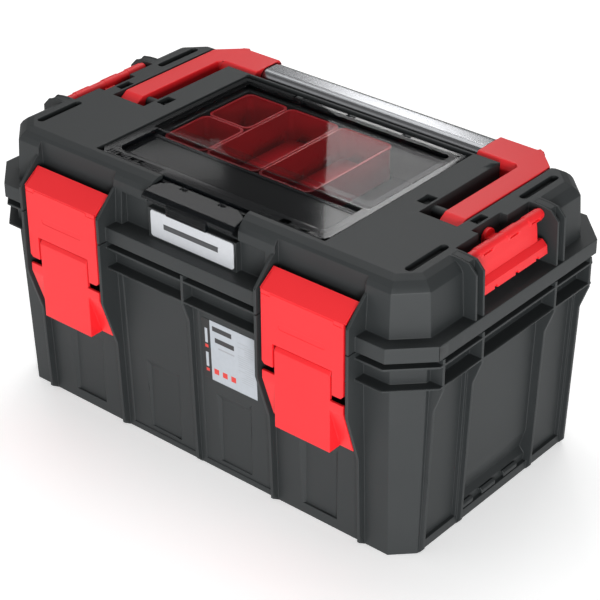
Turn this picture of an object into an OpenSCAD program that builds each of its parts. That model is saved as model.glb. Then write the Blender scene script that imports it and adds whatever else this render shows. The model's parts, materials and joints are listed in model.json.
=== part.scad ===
// Toolbox with a lift-up lid, a lid organiser under a window cover, a folding handle,
// two front draw latches and two side stacking clips.
// Origin: centre of the bottom. +X right along the front, -Y front, +Z up. Millimetres.

/* [Box] */
// Overall length over the parting rim
rim_length = 546; // [544:0.5:550]
// Depth over the parting rim
rim_depth = 313; // [312:0.5:315]
// Height of the parting line
split_z = 220.5; // [220:0.1:221]
// Height of the lid above the parting line
lid_rise = 70.9; // [70.6:0.1:71.2]
// Wall thickness of the moulded shells
wall = 3; // [2.5:0.1:3.5]

/* [Latches] */
// Distance from the middle to the centre of each latch
latch_x = 152.5; // [150:0.5:155]
// Width of a latch plate
latch_w = 95; // [86:0.2:96]

/* [Handle] */
// Distance from the middle to the centre of each handle arm
arm_x = 202; // [200:0.5:203]
// Width of a handle arm
arm_w = 24; // [20:0.5:24]

/* [Cover] */
// Width of the window cover
cover_w = 282; // [276:1:282]
// Front edge of the window cover
cover_front = -118; // [-118:0.5:-114]
// Rear edge of the window cover, on the hinge line
cover_rear = 95.5; // [94:0.5:96]

/* [Fits] */
// Radial running clearance of the hinge pins
pin_gap = 0.05; // [0.03:0.01:0.1]

/* [Hidden] */
$fn = 64;

// Colours of the mouldings
body_grey = "#3d4243";
latch_red = "#ea2c33";
bin_red = "#7a0f1a";
smoke = [0.2, 0.2, 0.22, 0.5];
metal = "#c4c8cb";

// Rim and flange outline
rim_x = rim_length / 2;
rim_y = rim_depth / 2;
rim_chamfer = 33.5;
rim_h = 15.5;
rim_top = split_z + rim_h;

// Lid walls and shoulder, as insets from the wall against height
top_z = split_z + lid_rise;
lid_x = rim_x - 14.5;
lid_y = rim_y - 14.6;
lid_chamfer = 25.8;
lid_shoulder = [[0, -53], [2.4, -11.6], [5.6, -7.2], [10.5, -3.2], [17.5, 0]];

// Base walls
base_x = rim_x - 13;
base_y = rim_y - 11.5;
base_chamfer = 23.5;
base_top = split_z - 1;
draft = 6.5;
lip_z = split_z + 5;
lip_inset = 4;
flange_t = 2.4;
flange_low = split_z - 30.5;
flange_high = split_z - 8.5;
flange_chamfer = [35.5, 20];

// Ribs
rib_t = 3.2;
rib_foot_z = 5;
end_rib_y = [57, 115];
panel_sunk = 4;
panel_step = 1.2;
// height where the foot recess leaves the sunk end panel
pocket_top = 45.3;
latch_front = 163.8;
rib_front = latch_front + 2;
rib_near = latch_x - 53;
rib_far = latch_x + 53;

// Rear hinge
hinge_r = 7;
hinge_y = rib_front - hinge_r;
hinge_z = split_z + 1.5;
hinge_x = 165;
hinge_pin_r = 2.5;
knuckle_w = 15;
knuckle_mid = 28;
knuckle_gap = 1;

// Latch plate and lever
plate_t = 3;
plate_pivot = [-148.5, top_z - 37.9];
plate_bend_z = top_z - 42.7;
plate_top = [-143.8, top_z - 28.4];
plate_pin_r = 2;
lever_pivot = [-159.8, split_z - 32];
lever_pin_r = 1.6;
lever_bottom = 107;
leg_bottom = 170.5;
notch_top = 195.8;
latch_bay_y = -134.5;
notch_w = 69;
tongue_w = 65;

// Handle
pivot_z = top_z - 7.9;
arm_low = top_z - 14.9;
arm_tip = -21;
arm_rear = 151;
clamp_front = 105;
clamp_x = 141;
clamp_low = 264.5;
tube_half = 149;
tube_y = [117, 150.6];
tube_z = [266, 289.8];
tube_wall = 2;
handle_pin_r = 2.5;
groove_x = [173, 216];

// Side clips
clip_pivot = [251, top_z - 7.4];
clip_bar_r = 5.2;
clip_pin_r = 2;
clip_half = 55;
clip_slots = [-33, 7, 41];
ear_y = [56, 67];
ear_t = 2.5;

// Recess under the grip
deck_front = 103;
deck_z = 243;

// Cover, tray and bins
cover_low = top_z - 8.9;
cover_top = top_z - 1.2;
window_x = cover_w / 2 + 1.5;
window_front = cover_front - 1.5;
window_rear = 100.2;
ledge_z = 279;
cover_axis = [cover_rear, top_z - 4.9];
cover_rod_r = 1.5;
barrel_r = 3.2;
lid_knuckles = [-69, 0, 69];
lid_knuckle_w = 8;
tray_x = 132;
tray_y = [-109, 89];
tray_floor = 243;
tray_t = 2;
bin_t = 1.6;
bin_floor = tray_floor + tray_t + 0.3;
bin_top = 280;
tab_axis = [cover_front - 3.2, top_z - 6.2];
tab_pin_r = 1.2;
tab_lugs = [-24, 24];
tab_half = [57, 53.5];
tab_reach = -146.5;

// Moves its children to the other end of the box for side = -1
module on_side(side) {
    mirror([side < 0 ? 1 : 0, 0, 0]) children();
}

// Moves its children to the front of the box for way = -1
module on_back(way) {
    mirror([0, way < 0 ? 1 : 0, 0]) children();
}

// An eight-cornered outline: a rectangle with cut corners
function cut_corners(half_x, half_y, chamfer) = [
    [half_x - chamfer, -half_y], [half_x, chamfer - half_y],
    [half_x, half_y - chamfer], [half_x - chamfer, half_y],
    [chamfer - half_x, half_y], [-half_x, half_y - chamfer],
    [-half_x, chamfer - half_y], [chamfer - half_x, -half_y]];

// Half size of a drafted base wall at a height, from its half size at the parting line
function wall_at(half, z) = half - draft * (1 - z / base_top);

function diagonal(half_x, half_y, chamfer) = (half_x + half_y - chamfer) / sqrt(2);

module cut_plate(half_x, half_y, chamfer, low, high) {
    translate([0, 0, low])
        linear_extrude(high - low)
            polygon(cut_corners(half_x, half_y, chamfer));
}

module box(from, to) {
    translate(from) cube(to - from);
}

// A profile in the plane across X, drawn as [y, z] points, from x0 to x1
module profile_x(x0, x1) {
    translate([x0, 0, 0]) rotate([90, 0, 90]) linear_extrude(x1 - x0) children();
}

// A profile in the plane across Y, drawn as [x, z] points, from y0 to y1
module profile_y(y0, y1) {
    translate([0, y1, 0]) rotate([90, 0, 0]) linear_extrude(y1 - y0) children();
}

module rod_x(x0, x1, at, r) {
    translate([x0, at[0], at[1]]) rotate([0, 90, 0]) cylinder(r = r, h = x1 - x0);
}

module rod_y(y0, y1, at, r) {
    translate([at[0], y0, at[1]]) rotate([-90, 0, 0]) cylinder(r = r, h = y1 - y0);
}

// One pair of opposite walls: outline holds [inset, z] from the bottom to the top
module wall_pair(half, outline, turn) {
    last = len(outline) - 1;
    right = [for (p = outline) [half - p[0], p[1]]];
    left = [for (i = [last:-1:0]) [outline[i][0] - half, outline[i][1]]];
    rotate([90, 0, turn]) linear_extrude(2 * rim_length, center = true) polygon(concat(right, left));
}

// A block with cut corners whose eight walls all follow the same outline
module walled_block(half_x, half_y, chamfer, outline, shrink = 0) {
    intersection() {
        wall_pair(half_x - shrink, outline, 0);
        wall_pair(half_y - shrink, outline, 90);
        wall_pair(diagonal(half_x, half_y, chamfer) - shrink, outline, 45);
        wall_pair(diagonal(half_x, half_y, chamfer) - shrink, outline, -45);
    }
}

// The lid wall leans in a little, then breaks over the shoulder to the top
function shoulder(low, high) = concat([[0, low]], [for (p = lid_shoulder) [p[0], high + p[1]]]);

// ---------- Base ----------

module base_block(shrink, low, high) {
    walled_block(base_x, base_y, base_chamfer,
        [[draft * (1 - low / base_top), low], [draft * (1 - high / base_top), high]], shrink);
}

// Chamfered panels sunk into the lower front and rear walls
module panel_recess(x, grow) {
    half = 18.5;
    floor_y = 136.2;
    slope = 9;
    intersection() {
        translate([x, 0, 12 - grow])
            linear_extrude(90 + 2 * grow)
                polygon([[-half - grow, -floor_y + grow], [half + grow, -floor_y + grow],
                    [half + slope + grow, -floor_y - slope], [-half - slope - grow, -floor_y - slope]]);
        profile_x(x - half - slope - 2 * grow, x + half + slope + 2 * grow)
            polygon([[grow - floor_y, 0], [grow - floor_y, 84 + grow],
                [-floor_y - slope, 84 + grow + 2 * slope], [-floor_y - slope, 0]]);
    }
}

// Hand and stacking recess at the foot of each end: a leaning back and a shelf that slopes out
module foot_recess(grow) {
    half = end_rib_y[0] - rib_t / 2 + grow;
    deep = [244.5 - 1.13 * grow, 24 - 0.28 * grow];
    profile_y(-half, half)
        polygon([deep, [270 - 1.04 * grow, 109.7], [275, 109.7], [275, -9.5 - 1.45 * grow],
            [270, -2.9 - 1.45 * grow]]);
}

// Shallow panels between the ribs, that follow the draft of the walls
module end_panel(y0, y1, grow) {
    sunk = panel_sunk + grow;
    profile_y(y0 - grow, y1 + grow)
        polygon([[wall_at(base_x, 10) - sunk, 10 - grow], [wall_at(base_x, 184) - sunk, 184 + grow],
            [rim_x, 184 + grow], [rim_x, 10 - grow]]);
}

module long_panel(x0, x1) {
    profile_x(x0, x1)
        polygon([[panel_step - wall_at(base_y, 7), 7], [panel_step - wall_at(base_y, 186), 186],
            [-rim_y, 186], [-rim_y, 7]]);
}

module base_recesses(grow) {
    for (face = [0, 180])
        rotate([0, 0, face])
            for (x = [-latch_x, -47, 47, latch_x])
                panel_recess(x, grow);
    for (side = [-1, 1])
        on_side(side) {
            foot_recess(grow);
            end_panel(rib_t / 2 - end_rib_y[0], end_rib_y[0] - rib_t / 2, grow);
            for (way = [-1, 1])
                on_back(way) end_panel(end_rib_y[0] + 4.5, end_rib_y[1] - 4.5, grow);
        }
}

// Outline of a rib that stands off a wall: out is the wall's half size at the parting line.
// reach and foot are how far the rib stands out at the top and near the bottom.
function rib_outline(out, reach, knee, waist, foot) = [
    [out - 4, base_top], [reach, base_top], [reach, knee[0]], [waist, knee[1]], [foot, rib_foot_z],
    [out - draft + 0.4, 0], [out - 12, 0]];

module end_rib(y) {
    profile_y(y - rib_t / 2, y + rib_t / 2)
        polygon(rib_outline(base_x, rim_x, [187, 162], base_x + 4, base_x - 2));
}

// A rib across the front; on_back puts it on the rear wall
module wall_rib(x, reach, knee, waist, foot) {
    on_back(-1) profile_x(x - rib_t / 2, x + rib_t / 2)
        polygon(rib_outline(base_y, reach, knee, waist, foot));
}

module base_ribs() {
    for (side = [-1, 1]) {
        for (x = [rib_near, rib_far])
            wall_rib(side * x, rib_front, [154, 102], rib_front - 16.3, rib_front - 19.4);
        on_side(side)
            for (y = end_rib_y, way = [-1, 1])
                end_rib(way * y);
    }
    wall_rib(0, rim_y, [188.5, 167], rim_y - 7.2, rim_y - 12.7);
    for (x = [-rib_far, -rib_near, 0, rib_near, rib_far])
        on_back(-1) wall_rib(x, rim_y, [188, 166], rim_y - 5.5, rim_y - 10.5);
}

module base_flanges() {
    difference() {
        for (z = [flange_low, flange_high])
            translate([0, 0, z]) linear_extrude(flange_t) intersection() {
                polygon(cut_corners(rim_x, rim_y, flange_chamfer[0]));
                translate([0, -flange_chamfer[1]])
                    polygon(cut_corners(rim_x, rim_y + flange_chamfer[1], 2 * flange_chamfer[1]));
            }
        for (side = [-1, 1])
            on_side(side) box([rib_near, -rim_y - 5, flange_low - 5], [rib_far, -base_y + 0.5, base_top + 2]);
    }
}

// Ledge in the latch channel that the lever hooks under
module catch_ledge() {
    profile_x(latch_x - 28, latch_x + 28)
        polygon([[-base_y + 4, 171], [-151.5, 174.5], [-151.5, 178], [-base_y + 4, 181]]);
}

module hinge_web(x0, x1) {
    profile_x(x0, x1)
        polygon([[base_y - 4, base_top - 24], [base_y + 2, base_top - 24],
            [hinge_y + hinge_r - 1, hinge_z - 4], [hinge_y + hinge_r, hinge_z],
            [hinge_y - hinge_r + 1, hinge_z - 2], [base_y - 4, base_top - 6]]);
}

module base_knuckles() {
    for (side = [-1, 1], way = [-1, 1]) {
        near = hinge_x + way * (knuckle_mid / 2 + knuckle_gap);
        far = near + way * knuckle_w;
        on_side(side) {
            rod_x(min(near, far), max(near, far), [hinge_y, hinge_z], hinge_r);
            hinge_web(min(near, far), max(near, far));
        }
    }
}

module hinge_bores(r) {
    for (side = [-1, 1])
        on_side(side) rod_x(hinge_x - 30, hinge_x + 30, [hinge_y, hinge_z], r);
}

// Raised pads on the shelf of each foot recess
module shelf_pads() {
    for (y = [-44, -8, 28])
        profile_y(y - 11, y + 11) polygon([[249.5, 15.5], [251.6, 18], [256.6, 13], [255, 10.5]]);
}

module foot_pocket_zone() {
    half = end_rib_y[0] - rib_t / 2 - 0.5;
    box([232, -half, -1], [rim_x, half, pocket_top]);
}

// The floor inside the walls
module floor_zone() {
    edge = wall + 4;
    difference() {
        translate([0, 0, -1]) linear_extrude(9)
            polygon(cut_corners(wall_at(base_x, 0) - edge, wall_at(base_y, 0) - edge, base_chamfer));
        for (side = [-1, 1])
            on_side(side) foot_pocket_zone();
    }
}

module base_shell() {
    color(body_grey)
    difference() {
        base_solid();
        floor_zone();
        for (side = [-1, 1])
            on_side(side) foot_pocket_zone();
    }
}

module base_floor() {
    color(body_grey)
    intersection() {
        base_solid();
        floor_zone();
    }
}

module foot_pocket(side) {
    color(body_grey)
    intersection() {
        base_solid();
        on_side(side) foot_pocket_zone();
    }
}

module base_solid() {
    difference() {
        union() {
            difference() {
                union() {
                    base_block(0, 0, base_top);
                    cut_plate(base_x - lip_inset, base_y - lip_inset, base_chamfer - 2, base_top - 4, lip_z);
                    base_ribs();
                    base_flanges();
                }
                difference() {
                    base_block(wall, wall, base_top - wall);
                    base_recesses(wall);
                }
                cut_plate(base_x - lip_inset - wall, base_y - lip_inset - wall, base_chamfer - 3.5,
                    base_top - 30, lip_z + 1);
                base_recesses(0);
                for (side = [-1, 1], way = [-1, 1])
                    on_side(side) on_back(way) long_panel(8, rib_near - 8);
            }
            for (side = [-1, 1])
                on_side(side) {
                    catch_ledge();
                    intersection() {
                        shelf_pads();
                        base_block(0, 0, base_top);
                    }
                }
            base_knuckles();
        }
        hinge_bores(hinge_pin_r + pin_gap);
        // room for the lid knuckles
        for (side = [-1, 1])
            on_side(side) rod_x(hinge_x - knuckle_mid / 2 - 0.5, hinge_x + knuckle_mid / 2 + 0.5,
                [hinge_y, hinge_z], hinge_r + 1);
        // stacking grooves under the box, on the same spacing as the grooves in the lid
        for (side = [-1, 1], way = [-1, 1])
            on_side(side) box([225, way * 85.5 - 28, -1], [233, way * 85.5 + 28, 1.2]);
    }
}

module hinge_pin() {
    half = knuckle_mid / 2 + knuckle_gap + knuckle_w - 0.5;
    color(metal) rod_x(hinge_x - half, hinge_x + half, [hinge_y, hinge_z], hinge_pin_r);
}

module front_label() {
    // follows the draft of the front wall
    lean = atan(draft / base_top);
    color("#dcdfe1")
    translate([44.5, panel_step - wall_at(base_y, 105.5), 105.5])
        rotate([lean, 0, 0])
            translate([-33.8, -0.35, 0]) cube([67.6, 0.35, 67.6]);
}

// ---------- Lid ----------

module capsule_slot(x, y, length, width, low) {
    for (way = [-1, 1])
        translate([x, y + way * (length - width) / 2, low]) cylinder(d = width, h = 20);
    box([x - width / 2, y - (length - width) / 2, low], [x + width / 2, y + (length - width) / 2, low + 20]);
}

module handle_groove(grow) {
    box([groove_x[0] - grow, -23.5 - grow, 274.5 - grow], [groove_x[1] + grow, rim_y + 9, 300]);
    box([groove_x[0] - grow, -23.5 - grow, 259.5 - grow], [groove_x[1] + grow, 14 + grow, 290]);
    box([clamp_x - 3 - grow, 103 - grow, 262 - grow], [groove_x[1] + grow, rim_y + 9, 300]);
}

module lid_recesses(grow) {
    // window opening with its ledge
    box([-window_x - grow, window_front - grow, ledge_z - grow], [window_x + grow, window_rear + grow, 300]);
    // rear deck under the grip, for the fingers
    box([-clamp_x - grow, deck_front - grow, deck_z - grow], [clamp_x + grow, rim_y + 9, 300]);
    // room for the cover tab at the front edge
    translate([0, 0, 268 - grow]) linear_extrude(40)
        tab_plan(-rim_y - 5, window_front + 1 + grow, tab_half[0] + 3 + grow, tab_half[1] + 0.9 + grow);
    // shallow recess of the badge
    box([-90 - grow, -rim_y - 5, rim_top - grow], [90 + grow, -134 + grow, 270 + grow]);
    for (side = [-1, 1])
        on_side(side) {
            handle_groove(grow);
            for (way = [-1, 1])
                capsule_slot(229, way * 85.5, 57 + 2 * grow, 8 + 2 * grow, 285.4 - grow);
            box([159 - grow, -8.5 - grow, 285 - grow], [170 + grow, 8.5 + grow, 300]);
            box([218.5 - grow, -8.5 - grow, 285 - grow], [227 + grow, 8.5 + grow, 300]);
            // side clip bay
            box([238 - grow, -ear_y[0] - grow, rim_top - grow], [rim_x + 9, ear_y[0] + grow, 300]);
            box([230 - grow, -22 - grow, 252 - grow], [240, 22 + grow, 300]);
            // bay behind the top of the latch plate
            box([rib_near + rib_t / 2 - grow, -rim_y - 5, 243 - grow],
                [rib_far - rib_t / 2 + grow, latch_bay_y + grow, 300]);
        }
}

module lid_ribs() {
    for (side = [-1, 1])
        on_side(side) {
            for (x = [rib_near, rib_far])
                profile_x(x - rib_t / 2, x + rib_t / 2)
                    polygon([[1 - rim_y, split_z], [-rib_front, split_z], [-rib_front, 247], [-lid_y, 271],
                        [2.5 - lid_y, 272], [2.5 - lid_y, rim_top - 1], [1 - rim_y, rim_top - 1]]);
            for (way = [-1, 1])
                on_back(way) {
                    for (y = ear_y)
                        profile_y(y, y + ear_t)
                            polygon([[234, rim_top - 1], [rim_x - 1, rim_top - 1],
                                [rim_x - 2.6, top_z - 10.4], [rim_x - 10.5, top_z - 2],
                                [253, top_z - 0.4], [246, top_z], [234, top_z]]);
                    profile_y(ear_y[0] + 1, ear_y[1] + 1)
                        polygon([[234, rim_top - 1], [260, rim_top - 1], [260, top_z - 1.9],
                            [253, top_z - 0.9], [246, top_z - 0.5], [234, top_z - 0.5]]);
                }
        }
}

module lid_knuckle() {
    rod_x(hinge_x - knuckle_mid / 2, hinge_x + knuckle_mid / 2, [hinge_y, hinge_z], hinge_r);
    profile_x(hinge_x - knuckle_mid / 2, hinge_x + knuckle_mid / 2)
        polygon([[hinge_y - hinge_r + 1, split_z], [hinge_y, split_z], [hinge_y + hinge_r, hinge_z],
            [hinge_y + hinge_r - 2, hinge_z + 6], [rim_y - 4, rim_top], [rim_y - 8, rim_top],
            [rim_y - 8, split_z]]);
}

// Middle of the front wall, under the cover tab
module front_panel_zone() {
    translate([0, 0, rim_top + 0.4]) linear_extrude(60)
        tab_plan(-rim_y - 5, window_front + 12, tab_half[0] + 2.4, tab_half[1] - 1.2);
}

// Floor of the recess under the grip
module rear_deck_zone() {
    box([0.5 - clamp_x, deck_front + 0.5, rim_top + 0.4], [clamp_x - 0.5, rim_y + 9, deck_z + 1]);
}

module lid_shell() {
    color(body_grey) {
        difference() {
            lid_solid();
            front_panel_zone();
            rear_deck_zone();
        }
        lid_collars();
        cover_knuckles();
    }
}

module lid_front_panel() {
    color(body_grey)
    intersection() {
        lid_solid();
        front_panel_zone();
    }
}

module lid_rear_deck() {
    color(body_grey)
    intersection() {
        lid_solid();
        rear_deck_zone();
    }
}

module lid_solid() {
    difference() {
        union() {
            difference() {
                union() {
                    walled_block(lid_x, lid_y, lid_chamfer, shoulder(rim_top - wall, top_z));
                    cut_plate(rim_x, rim_y, rim_chamfer, split_z, rim_top);
                }
                difference() {
                    union() {
                        walled_block(lid_x, lid_y, lid_chamfer, shoulder(split_z - 1, top_z - wall), wall);
                        cut_plate(rim_x - wall, rim_y - wall, rim_chamfer - 1.5, split_z - 1, rim_top - wall);
                    }
                    lid_recesses(wall);
                }
                // room for the base knuckles
                for (side = [-1, 1], way = [-1, 1]) {
                    mid = hinge_x + way * (knuckle_mid / 2 + knuckle_gap + knuckle_w / 2);
                    on_side(side) rod_x(mid - knuckle_w / 2 - knuckle_gap, mid + knuckle_w / 2 + knuckle_gap,
                        [hinge_y, hinge_z], hinge_r + 0.8);
                }
            }
            lid_ribs();
            for (side = [-1, 1])
                on_side(side) lid_knuckle();
            // pad that carries the badge
            box([-55.5, -140.6, rim_top - 0.5], [55.5, -132, 266.5]);
        }
        difference() {
            lid_recesses(0);
            box([-55.5, -140.6, rim_top - 0.5], [55.5, -132, 266.5]);
        }
        // the tray hangs through this opening
        box([-tray_x - 1, tray_y[0] - 1, ledge_z - 10], [tray_x + 1, tray_y[1] + 1, ledge_z + 1]);
        hinge_bores(hinge_pin_r + pin_gap);
        for (side = [-1, 1])
            on_side(side) {
                rod_x(167, 223, [0, pivot_z], handle_pin_r + pin_gap);
                rod_x(rib_near - 0.6, rib_far + 0.6, plate_pivot, plate_pin_r + pin_gap);
                rod_y(-ear_y[1] + 2, ear_y[1] - 2, clip_pivot, clip_pin_r + pin_gap);
            }
    }
}

// Collars that keep the handle in the middle of its groove
module lid_collars() {
    for (side = [-1, 1])
        on_side(side) difference() {
            rod_x(groove_x[0] - 0.5, arm_x - arm_w / 2 - 0.4, [0, pivot_z], 4.8);
            rod_x(groove_x[0] - 2, arm_x, [0, pivot_z], handle_pin_r + pin_gap);
        }
}

// Cover knuckles standing on the rear edge of the window
module cover_knuckles() {
    for (x = lid_knuckles)
        difference() {
            union() {
                rod_x(x - lid_knuckle_w / 2, x + lid_knuckle_w / 2, cover_axis, barrel_r);
                box([x - lid_knuckle_w / 2, cover_axis[0] - 1, ledge_z + 3.2],
                    [x + lid_knuckle_w / 2, window_rear + 0.5, cover_axis[1]]);
            }
            rod_x(x - 10, x + 10, cover_axis, cover_rod_r + pin_gap);
        }
}

// ---------- Lid organiser ----------

module rounded_square(from, to, r) {
    for (x = [from[0] + r, to[0] - r], y = [from[1] + r, to[1] - r])
        translate([x, y]) circle(r = r);
    translate([from[0] + r, from[1]]) square([to[0] - from[0] - 2 * r, to[1] - from[1]]);
    translate([from[0], from[1] + r]) square([to[0] - from[0], to[1] - from[1] - 2 * r]);
}

// Open box with rounded corners and a rolled rim
module bin(x0, x1, y0, y1, low, high, t, r, rim) {
    difference() {
        union() {
            translate([0, 0, low]) linear_extrude(high - low) rounded_square([x0, y0], [x1, y1], r);
            translate([0, 0, high - 1.6]) linear_extrude(1.6)
                rounded_square([x0 - rim, y0 - rim], [x1 + rim, y1 + rim], r + rim);
        }
        translate([0, 0, low + t]) linear_extrude(high - low)
            rounded_square([x0 + t, y0 + t], [x1 - t, y1 - t], r - t / 2);
    }
}

// Dark tub that hangs on the ledge of the window and takes the bins
module organiser_tray() {
    color(body_grey)
    difference() {
        union() {
            translate([0, 0, ledge_z]) linear_extrude(2.2)
                rounded_square([1 - window_x, window_front + 1], [window_x - 1, window_rear - 5], 3);
            box([-tray_x, tray_y[0], tray_floor + tray_t], [tray_x, tray_y[1], ledge_z + 1]);
        }
        translate([0, 0, tray_floor]) linear_extrude(60)
            rounded_square([tray_t - tray_x, -46], [tray_x - tray_t, tray_y[1] - tray_t], 1);
        translate([0, 0, tray_floor]) linear_extrude(60)
            rounded_square([tray_t - tray_x, tray_y[0] + tray_t], [tray_x - tray_t, -50], 1);
    }
}

module tray_floor_plate() {
    color(body_grey) box([-tray_x, tray_y[0], tray_floor], [tray_x, tray_y[1], tray_floor + tray_t]);
}

module organiser_bin(x0, x1, y0, y1) {
    color(bin_red) bin(x0 + 1.5, x1 - 1.5, y0 + 1.5, y1 - 1.5, bin_floor, bin_top, bin_t, 7, 1);
}

module bin_small_front() {
    organiser_bin(-129, -73, -45, 20);
}

module bin_small_rear() {
    organiser_bin(-129, -73, 20, 86);
}

module bin_long_middle() {
    organiser_bin(-73, -6, -45, 86);
}

module bin_long_right() {
    organiser_bin(-6, 61, -45, 86);
}

module badge_plate() {
    color("#dfe2e5") {
        profile_y_rounded(-51, 53, 238, 265.6, 3, -141.8, -140.6);
        // plain raised bar
        profile_y_rounded(-34, 36, 249.2, 254.4, 1.2, -142.2, -141.8);
    }
}

// Rounded rectangle in the plane across Y
module profile_y_rounded(x0, x1, z0, z1, r, y0, y1) {
    profile_y(y0, y1) rounded_square([x0, z0], [x1, z1], r);
}

// ---------- Window cover ----------

module cover_outline(from, to, chamfer) {
    polygon([[from[0], to[1]], [from[0], from[1] + chamfer], [from[0] + chamfer, from[1]],
        [to[0] - chamfer, from[1]], [to[0], from[1] + chamfer], [to[0], to[1]]]);
}

module window_cover() {
    half = cover_w / 2;
    rear = cover_rear - 1;
    color(smoke)
    difference() {
        union() {
            difference() {
                union() {
                    translate([0, 0, cover_low]) linear_extrude(cover_top - cover_low)
                        cover_outline([-half, cover_front], [half, rear], 7);
                    rod_x(2 - half, half - 2, cover_axis, barrel_r);
                    box([2 - half, rear - 4, cover_low], [half - 2, cover_rear, cover_axis[1]]);
                }
                // clear rear window, sunk from above
                translate([0, 0, cover_low + 2.2]) linear_extrude(20)
                    cover_outline([-127, -35], [127, 85], 4);
                // front window
                translate([0, 0, cover_low + 2.2]) linear_extrude(20)
                    cover_outline([-129, -104], [129, -50], 5);
                // hollow underside of the frame
                translate([0, 0, cover_low - 1]) linear_extrude(4.4)
                    difference() {
                        cover_outline([3 - half, cover_front + 3], [half - 3, rear - 8], 6);
                        cover_outline([-130.5, -38.5], [130.5, 88], 4);
                        cover_outline([-132.5, -107.5], [132.5, -46.5], 5);
                    }
                // fine grip ridges along the front edge
                for (x = [-132:4:-64], side = [-1, 1])
                    on_side(side)
                        box([x, cover_front + 2, cover_top - 0.6], [x + 2, cover_front + 9, cover_top + 1]);
            }
            for (x = tab_lugs) {
                rod_x(x - 3, x + 3, tab_axis, 2.6);
                box([x - 3, tab_axis[0], tab_axis[1] - 2.6], [x + 3, cover_front + 1, tab_axis[1] + 2.6]);
            }
        }
        for (x = lid_knuckles)
            box([x - lid_knuckle_w / 2 - 1.2, cover_rear - 4.5, cover_low - 3],
                [x + lid_knuckle_w / 2 + 1.2, window_rear + 5, cover_top + 3]);
        rod_x(-half - 5, half + 5, cover_axis, cover_rod_r + pin_gap);
        rod_x(-60, 60, tab_axis, tab_pin_r + pin_gap);
    }
}

module cover_hinge_rod() {
    color(metal) rod_x(-cover_w / 2 - 1, cover_w / 2 + 1, cover_axis, cover_rod_r);
}

// Outline of the cover tab seen from above: it narrows towards the front lip
module tab_plan(y0, y1, half0, half1) {
    polygon([[-half1, y1], [-half0, y0], [half0, y0], [half1, y1]]);
}

module cover_tab() {
    front = tab_reach;
    color(smoke)
    difference() {
        union() {
            rod_x(-tab_half[1], tab_half[1], tab_axis, 2.6);
            intersection() {
                profile_x(-60, 60)
                    polygon([[tab_axis[0], tab_axis[1] + 2.6], [front + 4, 284.6], [front, 281],
                        [front, 277.4], [front + 2.4, 277.4], [front + 2.8, 280], [front + 5, 281.8],
                        [tab_axis[0], tab_axis[1] - 1.2]]);
                translate([0, 0, 260]) linear_extrude(40)
                    tab_plan(front - 1, tab_axis[0] + 1, tab_half[0], tab_half[1]);
            }
            // ribbed grip in the middle of the lip
            box([-25, front - 1.4, 269.4], [25, front + 2.6, 280]);
            // hook that catches the edge of the window
            box([-40, -138, 276.5], [40, -136.4, 283]);
        }
        for (x = tab_lugs)
            box([x - 4, tab_axis[0] - 4, tab_axis[1] - 5], [x + 4, tab_axis[0] + 5, tab_axis[1] + 5]);
        rod_x(-60, 60, tab_axis, tab_pin_r + pin_gap);
        for (z = [271.2:2.4:279])
            box([-23.5, front - 2, z], [23.5, front - 0.6, z + 1.1]);
    }
}

module cover_tab_pin() {
    color(metal) rod_x(-46, 46, tab_axis, tab_pin_r);
}

// ---------- Handle ----------

module handle_arm(side) {
    in_x = arm_x - arm_w / 2;
    out_x = arm_x + arm_w / 2;
    color(latch_red)
    on_side(side)
    difference() {
        union() {
            intersection() {
                translate([0, 0, arm_low]) linear_extrude(top_z - arm_low)
                    polygon([[in_x, arm_tip], [out_x, arm_tip], [out_x, 126], [out_x - 26, arm_rear],
                        [in_x - 5, arm_rear], [in_x - 5, clamp_front + 6], [in_x, clamp_front]]);
                profile_x(150, 230)
                    polygon([[arm_tip, arm_low], [arm_rear, arm_low], [arm_rear, top_z - 1],
                        [arm_rear - 1, top_z],
                        [arm_tip + 14, top_z], [arm_tip, top_z - 9]]);
            }
            // clamp round the end of the tube
            intersection() {
                translate([0, 0, clamp_low]) linear_extrude(top_z - clamp_low)
                    polygon([[clamp_x, clamp_front], [in_x + 2, clamp_front], [in_x + 2, arm_rear],
                        [clamp_x, arm_rear]]);
                profile_x(130, 230)
                    polygon([[clamp_front, clamp_low], [arm_rear - 6, clamp_low], [arm_rear, clamp_low + 6],
                        [arm_rear, top_z - 4], [arm_rear - 3, top_z], [clamp_front + 6, top_z],
                        [clamp_front, top_z - 8]]);
            }
        }
        // socket of the tube
        translate([tube_half + 0.1 - 20, 0, 0]) tube_solid(0.1, 20);
        rod_x(150, 230, [0, pivot_z], handle_pin_r + pin_gap);
        // screw seats under the clamp
        for (y = [125, 143])
            translate([145, y, clamp_low - 1]) cylinder(r = 2.2, h = 2.2);
    }
}

module tube_section(grow) {
    rounded_square([tube_y[0] - grow, tube_z[0] - grow], [tube_y[1] + grow, tube_z[1] + grow], 10.5);
}

module tube_solid(grow, length) {
    profile_x(0, length) tube_section(grow);
}

module grip_tube() {
    color(metal)
    profile_x(-tube_half, tube_half)
        difference() {
            tube_section(0);
            rounded_square([tube_y[0] + tube_wall, tube_z[0] + tube_wall],
                [tube_y[1] - tube_wall, tube_z[1] - tube_wall], 8.5);
            // pair of fine decorative grooves along the top
            for (y = [124, 143.6])
                translate([y, tube_z[1] - 0.5]) square([0.9, 1]);
        }
}

module handle_screws() {
    color(metal)
    for (side = [-1, 1], y = [125, 143])
        on_side(side)
            difference() {
                translate([145, y, clamp_low - 0.9]) cylinder(r = 2.2, h = 2.1);
                translate([145, y, clamp_low - 1.2]) cylinder(r = 1.2, h = 1.4, $fn = 6);
            }
}

module handle_pin(side) {
    color(metal) on_side(side) rod_x(170.6, 218.2, [0, pivot_z], handle_pin_r);
}

// ---------- Front latches ----------

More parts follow.
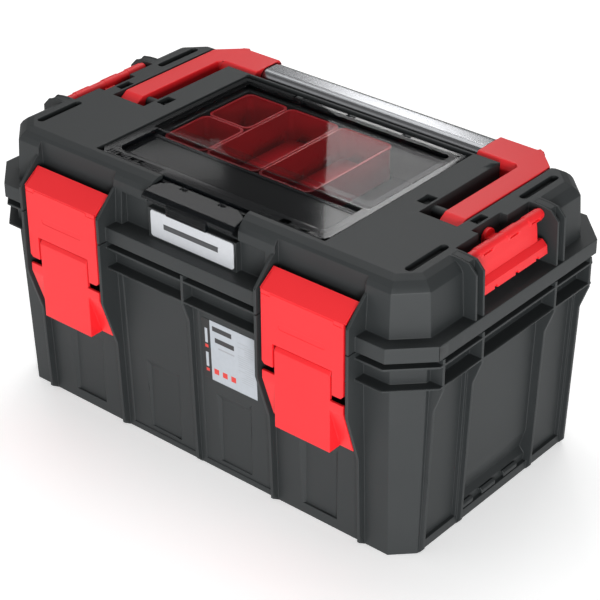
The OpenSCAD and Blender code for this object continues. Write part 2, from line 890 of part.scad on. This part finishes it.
module latch_plate(side) {
    half = latch_w / 2;
    bend_y = -latch_front;
    color(latch_red)
    on_side(side)
    translate([latch_x, 0, 0])
    difference() {
        union() {
            profile_x(-half, half)
                polygon([plate_top, [bend_y, plate_bend_z], [bend_y, leg_bottom],
                    [bend_y + plate_t, leg_bottom],
                    [bend_y + plate_t, plate_bend_z - 1.6], [plate_top[0] + 1.5, plate_top[1] - 3.2]]);
            // slanted top is a little wider than the face
            profile_x(-half - 1.6, half + 1.6)
                polygon([plate_top, [bend_y + 1, plate_bend_z + 0.7], [bend_y + 2, plate_bend_z - 1.4],
                    [plate_top[0] + 1.5, plate_top[1] - 3.2]]);
            rod_x(-half, half, plate_pivot, 4);
            profile_x(-half, half)
                polygon([[plate_pivot[0] - 4, plate_pivot[1] - 1], [plate_pivot[0] - 8, plate_pivot[1] - 0.8],
                    [plate_pivot[0], plate_pivot[1] + 6], [plate_pivot[0] + 3, plate_pivot[1]]]);
            // bosses of the lever pin behind the legs
            for (way = [-1, 1])
                rod_x(min(way * (notch_w / 2 + 0.8), way * (half - 1)), max(way * (notch_w / 2 + 0.8),
                    way * (half - 1)), lever_pivot, 3.6);
        }
        // notch that takes the lever's tongue
        box([-notch_w / 2, bend_y - 2, leg_bottom - 5], [notch_w / 2, bend_y + 12, notch_top]);
        // cut lower corners of the legs
        for (way = [-1, 1])
            profile_y(bend_y - 2, bend_y + 12)
                polygon([[way * (half + 1), leg_bottom - 1], [way * (half - 4), leg_bottom - 1],
                    [way * (half + 1), leg_bottom + 4]]);
        // parting step under the bend, with a tab at each end
        for (way = [-1, 1])
            on_side(way) {
                box([36, bend_y - 1, plate_bend_z - 4.6], [half + 1, bend_y + 0.5, plate_bend_z - 3.8]);
                box([36, bend_y - 1, plate_bend_z - 4.6], [36.8, bend_y + 0.5, plate_bend_z - 0.7]);
            }
        box([-36.8, bend_y - 1, plate_bend_z - 1.5], [36.8, bend_y + 0.5, plate_bend_z - 0.7]);
        // plain sunk bar on the face
        profile_y(bend_y - 1, bend_y + 0.35) rounded_square([-27, 214], [27, 220], 2.5);
        rod_x(-60, 60, plate_pivot, plate_pin_r + pin_gap);
        rod_x(-60, 60, lever_pivot, lever_pin_r + pin_gap);
    }
}

module latch_pin(side) {
    color(metal) on_side(side) rod_x(rib_near - 0.4, rib_far + 0.4, plate_pivot, plate_pin_r);
}

module lever_pin(side) {
    color(metal) on_side(side)
        rod_x(latch_x - latch_w / 2 + 1.2, latch_x + latch_w / 2 - 1.2, lever_pivot, lever_pin_r);
}

module latch_lever(side) {
    half = latch_w / 2;
    face = -latch_front;
    back = face + plate_t;
    shoulder_z = leg_bottom - 7;
    color(latch_red)
    on_side(side)
    translate([latch_x, 0, 0])
    difference() {
        union() {
            // tongue and wedge block
            profile_x(-tongue_w / 2, tongue_w / 2)
                polygon([[face + 2.4, 193.6], [face, 190], [face, lever_bottom], [-149, lever_bottom],
                    [back + 0.5, 152], [back, 193.6]]);
            rod_x(-tongue_w / 2, tongue_w / 2, lever_pivot, 3.6);
            // wings along the slope of the flank ribs
            profile_x(-half, half)
                polygon([[face, shoulder_z], [face, 154.5], [-148.5, lever_bottom], [-145.7, lever_bottom],
                    [back, 155.2], [back, shoulder_z]]);
            // hook under the catch ledge
            profile_x(-26, 26)
                polygon([[back - 0.5, 163], [-153.5, 166.5], [-152.2, 170.2], [-153.2, 172.6], [-155.4, 171],
                    [back - 0.5, 170]]);
        }
        // hollow underside of the wedge block
        profile_x(4 - tongue_w / 2, tongue_w / 2 - 4)
            polygon([[face + 3, lever_bottom - 1], [face + 3, 146], [back, 150], [-151.5, 118],
                [-149.5, lever_bottom - 1]]);
        rod_x(-60, 60, lever_pivot, lever_pin_r + pin_gap);
    }
}

// ---------- Side clips ----------

// A plate hangs from a round bar and turns out into a lip; y runs from the front ear
module side_clip(side) {
    plate_rear = 42.5;
    lip_rear = 50;
    collar = 0.7;
    color(latch_red)
    on_side(side)
    difference() {
        union() {
            rod_y(-clip_half, clip_half, clip_pivot, clip_bar_r);
            profile_y(2 - clip_half, plate_rear)
                polygon([[clip_pivot[0] + 1, clip_pivot[1] + 4], [clip_pivot[0] + 5, clip_pivot[1] + 1],
                    [257.4, 276], [258.8, 261.5], [255.4, 260.5], [253.6, 274],
                    [clip_pivot[0] - 1, clip_pivot[1] - 4]]);
            profile_y(2 - clip_half, lip_rear)
                polygon([[255.2, 262.4], [258.9, 263], [264.4, 258], [265.4, 249.4], [262.4, 249],
                    [261.2, 255.4], [255.6, 258.6]]);
            // collars round the slots
            for (y = clip_slots)
                rod_y(y - 10.5, y + 10.5, clip_pivot, clip_bar_r + collar);
            // rounded finger tongue behind the bar
            profile_y(-7, 7) polygon([[231.2, 268], [231.2, 277], [clip_pivot[0], clip_pivot[1] + 1],
                [clip_pivot[0], clip_pivot[1] - 5]]);
            rod_x(231.2, 235, [0, 277.2], 8.5);
        }
        rod_y(-ear_y[1] - 3, ear_y[1] + 3, clip_pivot, clip_pin_r + pin_gap);
        for (y = clip_slots)
            box([clip_pivot[0] + clip_bar_r - 1, y - 6.5, clip_pivot[1] - 1.4],
                [clip_pivot[0] + clip_bar_r + 3, y + 6.5, clip_pivot[1] + 0.6]);
        // notches in the lower lip
        for (y = [-30, 2, 34])
            box([262.5, y - 2.2, 247], [268, y + 2.2, 252.2]);
    }
}

module clip_pin(side) {
    color(metal) on_side(side) rod_y(-ear_y[1] + 2.5, ear_y[1] - 2.5, clip_pivot, clip_pin_r);
}

base_shell();
base_floor();
foot_pocket(-1);  // foot_pocket_left
foot_pocket(1);  // foot_pocket_right
on_side(-1) hinge_pin();  // hinge_pin_left
on_side(1) hinge_pin();  // hinge_pin_right
front_label();
lid_shell();
lid_front_panel();
lid_rear_deck();
organiser_tray();
tray_floor_plate();  // tray_floor
bin_small_front();
bin_small_rear();
bin_long_middle();
bin_long_right();
badge_plate();
cover_hinge_rod();
handle_pin(-1);  // handle_pin_left
handle_pin(1);  // handle_pin_right
clip_pin(-1);  // clip_pin_left
clip_pin(1);  // clip_pin_right
latch_pin(-1);  // latch_pin_left
latch_pin(1);  // latch_pin_right
window_cover();
cover_tab();
cover_tab_pin();
handle_arm(-1);  // handle_arm_left
handle_arm(1);  // handle_arm_right
grip_tube();
handle_screws();
latch_plate(-1);  // latch_plate_left
latch_plate(1);  // latch_plate_right
lever_pin(-1);  // lever_pin_left
lever_pin(1);  // lever_pin_right
latch_lever(-1);  // latch_lever_left
latch_lever(1);  // latch_lever_right
side_clip(-1);  // side_clip_left
side_clip(1);  // side_clip_right
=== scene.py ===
import json
import math

import bmesh
import bpy
from mathutils import Matrix, Vector


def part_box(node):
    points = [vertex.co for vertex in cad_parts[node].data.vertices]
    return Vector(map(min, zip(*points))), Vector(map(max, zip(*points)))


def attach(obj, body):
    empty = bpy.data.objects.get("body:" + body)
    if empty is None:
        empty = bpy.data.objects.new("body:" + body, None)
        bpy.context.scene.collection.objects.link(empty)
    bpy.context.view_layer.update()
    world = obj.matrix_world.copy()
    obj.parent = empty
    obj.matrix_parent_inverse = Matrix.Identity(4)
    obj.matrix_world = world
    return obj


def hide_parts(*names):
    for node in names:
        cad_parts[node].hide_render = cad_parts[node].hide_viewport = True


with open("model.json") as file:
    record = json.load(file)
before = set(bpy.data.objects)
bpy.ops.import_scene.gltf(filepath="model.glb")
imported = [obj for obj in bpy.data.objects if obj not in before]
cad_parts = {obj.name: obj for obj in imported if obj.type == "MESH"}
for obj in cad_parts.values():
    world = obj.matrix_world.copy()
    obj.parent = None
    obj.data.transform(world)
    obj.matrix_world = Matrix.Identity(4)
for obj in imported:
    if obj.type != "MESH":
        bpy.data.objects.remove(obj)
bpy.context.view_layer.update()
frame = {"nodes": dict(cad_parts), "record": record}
mm = 0.001
print("frame loaded,", len(frame["nodes"]), "nodes")


# ---------- shader helper ----------
# Wraps one output socket, so that maths on it reads as an expression.
class Wire:
    def __init__(self, tree, socket=None):
        self.tree = tree
        self.socket = socket

    def node(self, kind, settings=None, inputs=None, out=0):
        made = self.tree.nodes.new(kind)
        for key, value in (settings or {}).items():
            if key == "stops":
                while len(made.color_ramp.elements) < len(value):
                    made.color_ramp.elements.new(0.5)
                for element, (place, colour) in zip(made.color_ramp.elements, value):
                    element.position = place
                    element.color = colour
            else:
                setattr(made, key, value)
        for key, value in (inputs or {}).items():
            if isinstance(value, Wire):
                self.tree.links.new(value.socket, made.inputs[key])
            else:
                made.inputs[key].default_value = value
        return Wire(self.tree, made.outputs[out])

    def maths(self, operation, a, b=0.0):
        return self.node("ShaderNodeMath", {"operation": operation}, {0: a, 1: b})

    def __add__(self, other):
        return self.maths("ADD", self, other)

    __radd__ = __add__

    def __sub__(self, other):
        return self.maths("SUBTRACT", self, other)

    def __rsub__(self, other):
        return self.maths("SUBTRACT", other, self)

    def __mul__(self, other):
        return self.maths("MULTIPLY", self, other)

    __rmul__ = __mul__

    def above(self, edge, soft):
        return self.node("ShaderNodeMapRange", {"interpolation_type": "SMOOTHSTEP"},
                         {"Value": self, "From Min": edge - soft, "From Max": edge + soft})

    def between(self, low, high, soft):
        return self.above(low, soft) * (1 - self.above(high, soft))


def blendColours(wire, mask, first, second):
    return wire.node("ShaderNodeMix", {"data_type": "RGBA"}, {0: mask, 6: first, 7: second}, out=2)


def blankMaterial(name):
    material = bpy.data.materials.new(name)
    material.use_nodes = True
    tree = material.node_tree
    tree.nodes.clear()
    start = Wire(tree)
    return material, start, start.node("ShaderNodeTexCoord", out=3)


def noise(start, place, scale, detail=2.0, roughness=0.5):
    return start.node("ShaderNodeTexNoise", {"noise_dimensions": "3D"},
                      {"Vector": place, "Scale": scale, "Detail": detail, "Roughness": roughness})


def axes(start, place, wanted):
    return [start.node("ShaderNodeSeparateXYZ", inputs={0: place}, out="XYZ".index(letter))
            for letter in wanted]


def finishMaterial(start, shader):
    output = start.tree.nodes.new("ShaderNodeOutputMaterial")
    start.tree.links.new(shader.socket, output.inputs["Surface"])


plastics = {
    "body": {"light": (0.0235, 0.0265, 0.0275, 1), "dark": (0.0195, 0.0225, 0.0235, 1), "rough": 0.56,
             "grain": 900.0, "lift": 0.00002, "index": 1.42},
    "red": {"light": (0.80, 0.014, 0.020, 1), "dark": (0.76, 0.011, 0.017, 1), "rough": 0.47,
            "grain": 1300.0, "lift": 0.000025, "index": 1.46},
    "bin": {"light": (0.60, 0.008, 0.018, 1), "dark": (0.50, 0.006, 0.014, 1), "rough": 0.30,
            "grain": 1500.0, "lift": 0.000015, "index": 1.40},
}


def mouldedPlastic(name, look):
    material, start, place = blankMaterial(name)
    cloud = noise(start, place, 9.0, 3.0)
    fine = noise(start, place, look["grain"], 3.0, 0.6)
    cells = start.node("ShaderNodeTexVoronoi", {"feature": "SMOOTH_F1"},
                       {"Vector": place, "Scale": look["grain"] * 0.8, "Smoothness": 0.6})
    scuff = noise(start, place, 60.0, 6.0, 0.75).above(0.66, 0.05)
    colour = blendColours(start, cloud.above(0.5, 0.22), look["dark"], look["light"])
    rough = look["rough"] + 0.10 * (fine - 0.5) + 0.08 * (cloud - 0.5) - 0.05 * scuff
    bump = start.node("ShaderNodeBump", inputs={"Strength": 0.35, "Distance": look["lift"],
                                                "Height": 0.6 * fine + 0.4 * cells})
    shader = start.node("ShaderNodeBsdfPrincipled", inputs={
        "Base Color": colour, "Roughness": rough, "Normal": bump, "IOR": look["index"]})
    finishMaterial(start, shader)
    return material


def brushedMetal(name, tint, rough, grainAlong):
    material, start, place = blankMaterial(name)
    stretched = start.node("ShaderNodeMapping", inputs={"Vector": place, "Scale": grainAlong})
    lines = noise(start, stretched, 1.0, 3.0, 0.65)
    cloud = noise(start, place, 14.0, 2.0)
    colour = blendColours(start, lines, tuple(0.86 * c for c in tint) + (1,), tint + (1,))
    bump = start.node("ShaderNodeBump", inputs={"Strength": 0.35, "Distance": 0.00002, "Height": lines})
    shader = start.node("ShaderNodeBsdfPrincipled", inputs={
        "Base Color": colour, "Metallic": 1.0, "Normal": bump,
        "Roughness": rough + 0.14 * (lines - 0.5) + 0.06 * (cloud - 0.5)})
    finishMaterial(start, shader)
    return material


# Panes are boxes on the cover: half length in X, then front and rear in Y
glass = {
    "clearPane": (0.1345, -0.0485, 0.0905), "smokePane": (0.129, -0.104, -0.050), "paneEdge": 0.0004,
    "smoked": (0.004, 0.005, 0.006, 1), "smokedRough": 0.06, "smokedIndex": 1.28,
    "through": (0.95, 0.95, 0.955, 1), "mirror": (0.16, 0.16, 0.16, 1), "mirrorRough": 0.02,
    "headOn": 0.04, "solidShare": 0.82, "smokeThins": 0.30,
}


def smokedClear(name):
    material, start, place = blankMaterial(name)
    x, y = axes(start, place, "XY")

    def inside(halfX, front, rear):
        return x.between(-halfX, halfX, glass["paneEdge"]) * y.between(front, rear, glass["paneEdge"])

    clear = inside(*glass["clearPane"])
    smoke = inside(*glass["smokePane"])
    haze = noise(start, place, 40.0, 4.0, 0.6)
    smoked = start.node("ShaderNodeBsdfPrincipled", inputs={
        "Base Color": glass["smoked"], "Roughness": glass["smokedRough"] + 0.05 * haze,
        "IOR": glass["smokedIndex"]})
    through = start.node("ShaderNodeBsdfTransparent", inputs={"Color": glass["through"]})
    mirror = start.node("ShaderNodeBsdfGlossy", inputs={
        "Color": glass["mirror"], "Roughness": glass["mirrorRough"] + 0.02 * haze})
    grazing = start.node("ShaderNodeLayerWeight", inputs={"Blend": 0.5}, out=1)
    glancing = start.maths("POWER", grazing, 5.0)
    reflected = glass["headOn"] + (1 - glass["headOn"]) * glancing
    pane = start.node("ShaderNodeMixShader", inputs={0: reflected, 1: through, 2: mirror})
    solid = (1 - clear) * (glass["solidShare"] - glass["smokeThins"] * smoke)
    shader = start.node("ShaderNodeMixShader", inputs={0: solid, 1: pane, 2: smoked})
    finishMaterial(start, shader)
    return material


labelColours = {
    "paper": (0.385, 0.415, 0.45, 1), "white": (0.41, 0.44, 0.475, 1), "black": (0.004, 0.004, 0.0045, 1),
    "ink": (0.02, 0.02, 0.022, 1), "red": (0.62, 0.03, 0.02, 1), "grey": (0.30, 0.31, 0.33, 1),
}
# Plain blocks: colour, then left, right, bottom and top as shares of the label
labelBlocks = [
    ("black", -0.1, 0.155, -0.1, 1.1),
    ("white", 0.055, 0.105, 0.20, 0.44),
    ("white", 0.055, 0.105, 0.60, 0.84),
    ("red", 0.05, 0.11, 0.12, 0.12 + 0.05),
    ("red", 0.05, 0.11, 0.52, 0.52 + 0.05),
    ("ink", 0.20, 0.56, 0.84, 0.92),
    ("ink", 0.24, 0.60, 0.66, 0.74),
    ("grey", 0.30, 0.60, 0.565, 0.59),
] + [("red", 0.20 + 0.16 * i, 0.29 + 0.16 * i, 0.12, 0.21) for i in range(3)]
fineLines = {"block": (0.67, 0.95, 0.18, 0.86), "pitch": 0.0012, "line": 0.00085, "strength": 0.7}


def printedFilm(name, low, high):
    material, start, place = blankMaterial(name)
    x, z = axes(start, place, "XZ")
    soft = 0.00012
    width = high[0] - low[0]
    height = high[2] - low[2]

    def patch(left, right, bottom, top):
        return (x.between(low[0] + left * width, low[0] + right * width, soft)
                * z.between(low[2] + bottom * height, low[2] + top * height, soft))

    paper = noise(start, place, 220.0, 3.0)
    colour = blendColours(start, paper.above(0.5, 0.3), labelColours["paper"], labelColours["white"])
    for tint, *edges in labelBlocks:
        colour = blendColours(start, patch(*edges), colour, labelColours[tint])
    lines = start.maths("PINGPONG", z, fineLines["pitch"]).above(fineLines["line"], 0.0001)
    stretched = start.node("ShaderNodeMapping", inputs={"Vector": place, "Scale": (60, 0, 420)})
    ragged = noise(start, stretched, 1.0, 0.0)
    finePrint = patch(*fineLines["block"]) * lines * ragged.above(0.42, 0.02) * fineLines["strength"]
    colour = blendColours(start, finePrint, colour, labelColours["grey"])
    shader = start.node("ShaderNodeBsdfPrincipled", inputs={
        "Base Color": colour, "Roughness": 0.30 + 0.08 * paper, "IOR": 1.5})
    finishMaterial(start, shader)
    return material


badge = {
    "dark": (0.50, 0.515, 0.54, 1), "light": (0.53, 0.545, 0.57, 1), "bar": (0.05, 0.052, 0.056, 1),
    "barHalf": 0.0345, "barLow": 0.2499, "barHigh": 0.2553, "barEdge": 0.0001,
}


def badgeFinish(name):
    material, start, place = blankMaterial(name)
    x, z = axes(start, place, "XZ")
    paper = noise(start, place, 300.0, 3.0)
    bar = (x.between(-badge["barHalf"], badge["barHalf"], badge["barEdge"])
           * z.between(badge["barLow"], badge["barHigh"], badge["barEdge"]))
    colour = blendColours(start, paper.above(0.5, 0.3), badge["dark"], badge["light"])
    colour = blendColours(start, bar, colour, badge["bar"])
    shader = start.node("ShaderNodeBsdfPrincipled", inputs={
        "Base Color": colour, "Roughness": 0.34 + 0.08 * paper, "IOR": 1.5})
    finishMaterial(start, shader)
    return material


bodyPlastic = mouldedPlastic("bodyPlastic", plastics["body"])
redPlastic = mouldedPlastic("redPlastic", plastics["red"])
binPlastic = mouldedPlastic("binPlastic", plastics["bin"])
brushedTube = brushedMetal("brushedTube", (0.27, 0.275, 0.285), 0.24, (6.0, 1500.0, 1500.0))
steel = brushedMetal("turnedSteel", (0.55, 0.56, 0.57), 0.32, (900.0, 900.0, 900.0))
coverClear = smokedClear("smokedClear")
labelFilm = printedFilm("labelFilm", *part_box("front_label"))
badgeWhite = badgeFinish("badgeWhite")
print("materials made")


# ---------- pieces from the frame ----------
# A welded copy of a node, with its sharp edges rounded, stands for the node. Flat faces are merged and then
# cut by a coarse grid, so that no long thin face joins two rounded edges.
gridStep = 13.7 * mm
gridShift = 0.31 * mm
edgeStyle = {"radius": 0.3, "segments": 2, "sharp": math.radians(24), "weight": 50}


def linkedObject(name, data):
    thing = bpy.data.objects.new(name, data)
    bpy.context.scene.collection.objects.link(thing)
    return thing


def nodeCopy(nodeName, pieceName):
    mesh = frame["nodes"][nodeName].data.copy()
    mesh.name = pieceName
    form = bmesh.new()
    form.from_mesh(mesh)
    bmesh.ops.remove_doubles(form, verts=form.verts, dist=0.01 * mm)
    bmesh.ops.dissolve_degenerate(form, edges=form.edges, dist=0.005 * mm)
    form.to_mesh(mesh)
    form.free()
    return linkedObject(pieceName, mesh)


# One closed skin round nodes that touch each other and never part
def joinedCopy(nodeNames, pieceName):
    piece = nodeCopy(nodeNames[0], pieceName)
    others = [nodeCopy(node, node + "Part") for node in nodeNames[1:]]
    for other in others:
        cut = piece.modifiers.new("join", "BOOLEAN")
        cut.operation = "UNION"
        cut.solver = "EXACT"
        cut.object = other
    if others:
        graph = bpy.context.evaluated_depsgraph_get()
        joined = bpy.data.meshes.new_from_object(piece.evaluated_get(graph))
        piece.modifiers.clear()
        piece.data = joined
        for other in others:
            bpy.data.objects.remove(other)
    return piece


def cleanFaces(mesh):
    form = bmesh.new()
    form.from_mesh(mesh)
    bmesh.ops.remove_doubles(form, verts=form.verts, dist=0.005 * mm)
    bmesh.ops.dissolve_limit(form, angle_limit=math.radians(0.05), verts=form.verts, edges=form.edges)
    for axis in range(3):
        low = min(vert.co[axis] for vert in form.verts)
        high = max(vert.co[axis] for vert in form.verts)
        across = [1 if i == axis else 0 for i in range(3)]
        for step in range(math.floor(low / gridStep) + 1, math.ceil(high / gridStep)):
            place = [(step * gridStep + gridShift) * way for way in across]
            everything = form.verts[:] + form.edges[:] + form.faces[:]
            bmesh.ops.bisect_plane(form, geom=everything, dist=0.001 * mm, plane_co=place, plane_no=across)
    form.to_mesh(mesh)
    form.free()


def roundedPiece(nodeNames, pieceName, body, material, radius):
    piece = joinedCopy(nodeNames, pieceName)
    cleanFaces(piece.data)
    piece.data.materials.clear()
    piece.data.materials.append(material)
    for face in piece.data.polygons:
        face.use_smooth = True
        face.material_index = 0
    bevel = piece.modifiers.new("edges", "BEVEL")
    bevel.width = radius * mm
    bevel.segments = edgeStyle["segments"]
    bevel.limit_method = "ANGLE"
    bevel.angle_limit = edgeStyle["sharp"]
    bevel.use_clamp_overlap = False
    bevel.miter_outer = "MITER_ARC"
    shade = piece.modifiers.new("shading", "WEIGHTED_NORMAL")
    shade.weight = edgeStyle["weight"]
    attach(piece, body)
    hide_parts(*nodeNames)
    return piece


finishes = {
    "body_plastic": bodyPlastic, "red_plastic": redPlastic, "bin_plastic": binPlastic,
    "smoked_clear": coverClear, "aluminium_tube": brushedTube, "steel_pin": steel, "label": labelFilm,
}
edgeRadius = {
    "base_shell": 0.6, "lid_shell": 0.6, "organiser_tray": 0.5, "window_cover": 0.25, "cover_tab": 0.3,
    "handle_arm_left": 1.2, "handle_arm_right": 1.2, "grip_tube": 0.2,
    "front_label": 0.05, "badge_plate": 0.25,
    "side_clip_left": 0.4, "side_clip_right": 0.4, "latch_plate_left": 0.25, "latch_plate_right": 0.25,
    "latch_lever_left": 0.6, "latch_lever_right": 0.6,
}
slotOf = {row["node"]: row["material_slot"] for row in frame["record"]["subparts"]}
bodyOf = {node: body for body, nodes in frame["record"]["behaviour"]["bodies"].items() for node in nodes}
joinedWith = {
    "base_shell": ["base_floor", "foot_pocket_left", "foot_pocket_right"],
    "lid_shell": ["lid_front_panel", "lid_rear_deck"],
    "organiser_tray": ["tray_floor"],
}
joinedNodes = [node for nodes in joinedWith.values() for node in nodes]
shown = []
for node in frame["nodes"]:
    if node in joinedNodes:
        continue
    slot = slotOf[node]
    material = badgeWhite if node == "badge_plate" else finishes[slot]
    title = "".join(part if i == 0 else part.capitalize() for i, part in enumerate(node.split("_")))
    together = [node] + joinedWith.get(node, [])
    radius = edgeRadius.get(node, edgeStyle["radius"])
    shown.append(roundedPiece(together, title, bodyOf[node], material, radius))
print("pieces made:", len(shown))


# ---------- stage ----------
studio = {
    "azimuth": 40.53, "elevation": 31.03, "roll": -0.34, "target": (14.76, -4.27, 128.41),
    "distance": 1936.0, "lens": 116.58, "sensor": 36.0,
    "floor": 4.0, "floorGlow": 0.36, "air": 0.28, "aim": (0, 0, 0.12),
}


def photographersView():
    camera = linkedObject("camera", bpy.data.cameras.new("camera"))
    azimuth = math.radians(studio["azimuth"])
    elevation = math.radians(studio["elevation"])
    back = Vector((math.sin(azimuth) * math.cos(elevation), -math.cos(azimuth) * math.cos(elevation),
                   math.sin(elevation)))
    target = Vector(studio["target"]) * mm
    turn = (-back).to_track_quat("-Z", "Y").to_matrix().to_4x4()
    roll = Matrix.Rotation(math.radians(studio["roll"]), 4, "Z")
    camera.matrix_world = Matrix.Translation(target + back * studio["distance"] * mm) @ turn @ roll
    camera.data.lens = studio["lens"]
    camera.data.sensor_width = studio["sensor"]
    camera.data.clip_start = 0.05
    camera.data.clip_end = 50
    bpy.context.scene.camera = camera


def paleFloor():
    material, start, place = blankMaterial("studioFloor")
    cloud = noise(start, place, 0.8, 2.0)
    colour = blendColours(start, cloud, (0.95, 0.95, 0.95, 1), (0.97, 0.97, 0.97, 1))
    shader = start.node("ShaderNodeBsdfPrincipled", inputs={
        "Base Color": colour, "Roughness": 0.7 + 0.1 * cloud, "Emission Color": (1, 1, 1, 1),
        "Emission Strength": studio["floorGlow"]})
    finishMaterial(start, shader)
    half = studio["floor"]
    mesh = bpy.data.meshes.new("studioFloor")
    corners = [(-half, -half, 0), (half, -half, 0), (half, half, 0), (-half, half, 0)]
    mesh.from_pydata(corners, [], [(0, 1, 2, 3)])
    floor = linkedObject("studioFloor", mesh)
    mesh.materials.append(material)


lights = [
    {"name": "keyLight", "at": (1.85, -1.95, 0.62), "size": (0.9, 0.9), "watts": 62},
    {"name": "topLight", "at": (-0.7, 0.9, 2.5), "size": (2.2, 2.2), "watts": 34},
    {"name": "fillLight", "at": (-2.0, -1.6, 1.2), "size": (1.8, 1.8), "watts": 7},
    {"name": "paneLightRight", "at": (-1.27, 1.82, 1.46), "size": (0.30, 0.55), "watts": 3.2},
    {"name": "paneLightLeft", "at": (-1.74, 1.52, 1.46), "size": (0.34, 0.09), "watts": 0.16},
]


def softLights():
    for row in lights:
        data = bpy.data.lights.new(row["name"], "AREA")
        data.shape = "RECTANGLE"
        data.size, data.size_y = row["size"]
        data.energy = row["watts"]
        lamp = linkedObject(row["name"], data)
        lamp.location = row["at"]
        aim = Vector(studio["aim"]) - lamp.location
        lamp.rotation_euler = aim.to_track_quat("-Z", "Y").to_euler()
    world = bpy.data.worlds.new("studioAir")
    bpy.context.scene.world = world
    world.use_nodes = True
    air = world.node_tree.nodes["Background"]
    air.inputs["Color"].default_value = (1, 1, 1, 1)
    air.inputs["Strength"].default_value = studio["air"]
    bpy.context.scene.view_settings.view_transform = "Standard"


photographersView()
paleFloor()
softLights()
print("stage set")
